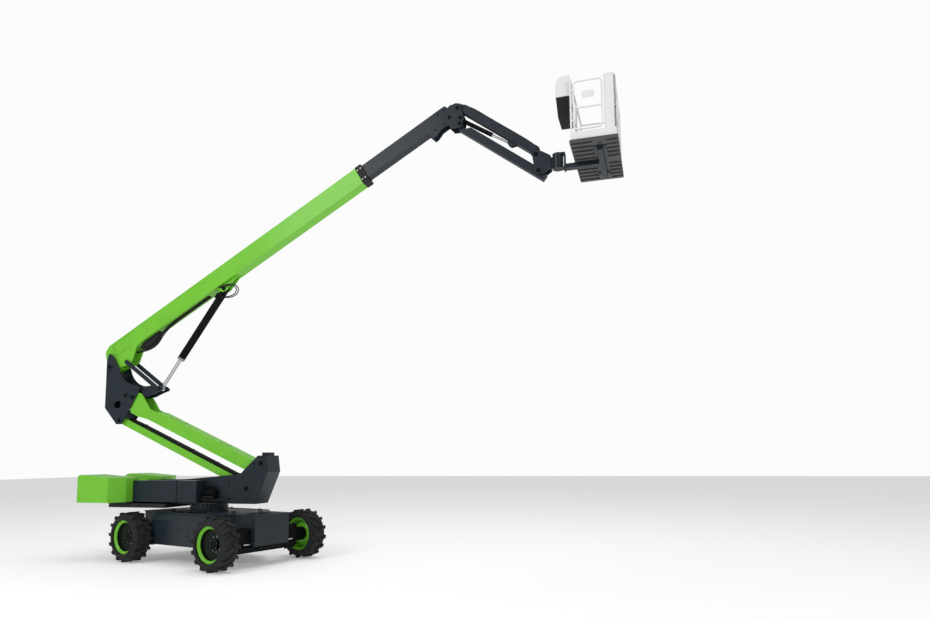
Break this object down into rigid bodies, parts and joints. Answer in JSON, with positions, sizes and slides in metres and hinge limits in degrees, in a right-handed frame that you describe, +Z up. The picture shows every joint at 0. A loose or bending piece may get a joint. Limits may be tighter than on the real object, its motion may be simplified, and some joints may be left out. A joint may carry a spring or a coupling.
{
  "type": "boom lift",
  "caption": "Articulated boom lift on rough-terrain wheels, with riser, telescoping main boom, jib and railed platform",
  "frame": {"origin": "on the ground under the middle of the whole machine in its stored pose", "axes": "+X along the booms towards the platform, +Y to the machine's far side in the picture, +Z up"},
  "size_m": [10.8393, 3.3145, 8.5897],
  "materials": {
    "boom_green": "gloss",
    "body_grey": "satin",
    "deck_black": "satin",
    "mass_grey": "rough",
    "tyre_rubber": "matte",
    "rail_white": "gloss",
    "floor_metal": "satin",
    "rod_chrome": "polished",
    "cover_white": "gloss",
    "box_plastic": "matte"
  },
  "bodies": {
    "chassis": {"chassis_frame": "body_grey", "side_covers": "body_grey", "steer_axle": "deck_black", "fixed_axle": "deck_black"},
    "knuckle_near_body": {"knuckle_near": "deck_black"},
    "knuckle_far_body": {"knuckle_far": "deck_black"},
    "tie_rod_body": {"tie_rod": "deck_black"},
    "turntable": {"turntable_frame": "body_grey", "counterweight": "mass_grey", "hoods": "boom_green", "side_boxes": "body_grey", "control_box": "body_grey", "power_pack": "mass_grey"},
    "riser": {"riser_boom": "boom_green"},
    "link": {"riser_link": "boom_green", "link_hose_tray": "box_plastic"},
    "upright_body": {"upright": "body_grey"},
    "rocker_body": {"rocker": "body_grey"},
    "tie_bars_body": {"tie_bars": "body_grey"},
    "boom": {"main_boom": "boom_green", "boom_collar": "box_plastic"},
    "extension": {"extension_boom": "body_grey"},
    "lift_barrel_body": {"lift_barrel": "deck_black"},
    "lift_rod_body": {"lift_rod": "rod_chrome"},
    "jib_head_body": {"jib_head": "body_grey"},
    "jib_upper": {"jib_upper_arm": "body_grey"},
    "jib_lower": {"jib_lower_arm": "body_grey"},
    "jib_barrel_body": {"jib_barrel": "deck_black"},
    "jib_rod_body": {"jib_rod": "rod_chrome"},
    "jib_end": {"jib_end_bracket": "body_grey"},
    "platform": {"platform_support": "body_grey", "platform_floor": "floor_metal", "platform_rails": "rail_white", "console_box": "box_plastic", "console_cover": "cover_white"},
    "gate": {"platform_gate": "rail_white"},
    "wheel_near_front": {"tyre_near_front": "tyre_rubber", "rim_near_front": "boom_green"},
    "wheel_far_front": {"tyre_far_front": "tyre_rubber", "rim_far_front": "boom_green"},
    "wheel_near_rear": {"tyre_near_rear": "tyre_rubber", "rim_near_rear": "boom_green"},
    "wheel_far_rear": {"tyre_far_rear": "tyre_rubber", "rim_far_rear": "boom_green"}
  },
  "joints": [
    {"name": "turret_slew", "type": "hinge", "parent": "chassis", "child": "turntable", "pos_m": [-2.8, 0.075, 1.05], "axis": [0, 0, 1], "continuous": true},
    {"name": "riser_lift", "type": "hinge", "parent": "turntable", "child": "riser", "pos_m": [-1.51, 0.075, 1.87], "axis": [0, 1, 0], "range_deg": [-21, 42]},
    {"name": "riser_link_lift", "type": "hinge", "parent": "turntable", "child": "link", "pos_m": [-1.82, 0.075, 1.39], "axis": [0, 1, 0], "range_deg": [-21, 42]},
    {"name": "upright_level", "type": "hinge", "parent": "riser", "child": "upright_body", "pos_m": [-4.63, 0.075, 3.26], "axis": [0, 1, 0], "range_deg": [-42, 21]},
    {"name": "main_lift", "type": "hinge", "parent": "upright_body", "child": "boom", "pos_m": [-5.24, 0.075, 3.92], "axis": [0, -1, 0], "range_deg": [-27.2, 45.8]},
    {"name": "rocker_swing", "type": "hinge", "parent": "upright_body", "child": "rocker_body", "pos_m": [-4.8, 0.075, 3.3], "axis": [0, -1, 0], "range_deg": [-14.69, 24.73]},
    {"name": "tie_bar_swing", "type": "hinge", "parent": "rocker_body", "child": "tie_bars_body", "pos_m": [-4.04, 0.075, 3.43], "axis": [0, -1, 0], "range_deg": [-21.53, 12.78]},
    {"name": "lift_barrel_swing", "type": "hinge", "parent": "boom", "child": "lift_barrel_body", "pos_m": [-2.5495, 0.075, 5.43971], "axis": [0, -1, 0], "range_deg": [-1.63, 2.75]},
    {"name": "lift_rod_stroke", "type": "slide", "parent": "lift_barrel_body", "child": "lift_rod_body", "axis": [-0.5957, 0, -0.8032], "range_m": [-0.39413, 0.66357]},
    {"name": "telescope", "type": "slide", "parent": "boom", "child": "extension", "axis": [0.8729, 0, 0.4879], "range_m": [-1.4, 3.2]},
    {"name": "jib_head_level", "type": "hinge", "parent": "extension", "child": "jib_head_body", "pos_m": [2.32176, 0.075, 8.32941], "axis": [0, -1, 0], "range_deg": [-45.8, 27.2]},
    {"name": "jib_lift", "type": "hinge", "parent": "jib_head_body", "child": "jib_upper", "pos_m": [2.48, 0.075, 8.49], "axis": [0, -1, 0], "range_deg": [-23, 107]},
    {"name": "jib_lower_lift", "type": "hinge", "parent": "jib_head_body", "child": "jib_lower", "pos_m": [2.52, 0.075, 8.18], "axis": [0, -1, 0], "range_deg": [-23, 107]},
    {"name": "jib_end_level", "type": "hinge", "parent": "jib_upper", "child": "jib_end", "pos_m": [3.93991, 0.075, 7.38988], "axis": [0, -1, 0], "range_deg": [-107, 23]},
    {"name": "jib_barrel_swing", "type": "hinge", "parent": "jib_head_body", "child": "jib_barrel_body", "pos_m": [2.54, 0.075, 8.29], "axis": [0, -1, 0], "range_deg": [-23.23, 108.07]},
    {"name": "jib_rod_stroke", "type": "slide", "parent": "jib_barrel_body", "child": "jib_rod_body", "axis": [0.8389, 0, -0.5443], "range_m": [-0.06433, 0.2989]},
    {"name": "platform_rotate", "type": "hinge", "parent": "jib_end", "child": "platform", "pos_m": [4.32, 0.075, 7.11], "axis": [0, 0, 1], "range_deg": [-90, 90]},
    {"name": "gate_swing", "type": "hinge", "parent": "platform", "child": "gate", "pos_m": [4.715, -0.786, 7.375], "axis": [0, 0, 1], "range_deg": [0, 90]},
    {"name": "steer", "type": "hinge", "parent": "chassis", "child": "knuckle_near_body", "pos_m": [-1.53986, -1.113, 0.475], "axis": [0, 0, 1], "range_deg": [-35, 35]},
    {"name": "steer_far", "type": "hinge", "parent": "chassis", "child": "knuckle_far_body", "pos_m": [-1.10421, 0.42655, 0.475], "axis": [0, 0, 1], "range_deg": [-35, 35]},
    {"name": "tie_rod_shift", "type": "slide", "parent": "chassis", "child": "tie_rod_body", "axis": [0.2723, 0.9622, 0], "range_m": [-0.12227, 0.12227]},
    {"name": "wheel_near_front_spin", "type": "hinge", "parent": "knuckle_near_body", "child": "wheel_near_front", "pos_m": [-1.61473, -1.37761, 0.475], "axis": [0.2723, 0.9622, 0], "continuous": true},
    {"name": "wheel_far_front_spin", "type": "hinge", "parent": "knuckle_far_body", "child": "wheel_far_front", "pos_m": [-1.02933, 0.69116, 0.475], "axis": [0.2723, 0.9622, 0], "continuous": true},
    {"name": "wheel_near_rear_spin", "type": "hinge", "parent": "chassis", "child": "wheel_near_rear", "pos_m": [-4.02028, -0.69691, 0.475], "axis": [0.2723, 0.9622, 0], "continuous": true},
    {"name": "wheel_far_rear_spin", "type": "hinge", "parent": "chassis", "child": "wheel_far_rear", "pos_m": [-3.43488, 1.37186, 0.475], "axis": [0.2723, 0.9622, 0], "continuous": true}
  ],
  "couplings": [
    {"joint": "riser_link_lift", "follows": "riser_lift", "ratio": 1},
    {"joint": "upright_level", "follows": "riser_lift", "ratio": -1},
    {"joint": "rocker_swing", "follows": "main_lift", "ratio": 0.54},
    {"joint": "tie_bar_swing", "follows": "main_lift", "ratio": -0.47},
    {"joint": "lift_barrel_swing", "follows": "main_lift", "ratio": 0.06},
    {"joint": "lift_rod_stroke", "follows": "main_lift", "m_per_rad": 0.83},
    {"joint": "jib_head_level", "follows": "main_lift", "ratio": -1},
    {"joint": "jib_lower_lift", "follows": "jib_lift", "ratio": 1},
    {"joint": "jib_end_level", "follows": "jib_lift", "ratio": -1},
    {"joint": "jib_barrel_swing", "follows": "jib_lift", "ratio": 1.01},
    {"joint": "jib_rod_stroke", "follows": "jib_lift", "m_per_rad": 0.16},
    {"joint": "steer_far", "follows": "steer", "ratio": 1},
    {"joint": "tie_rod_shift", "follows": "steer", "m_per_rad": -0.2}
  ]
}
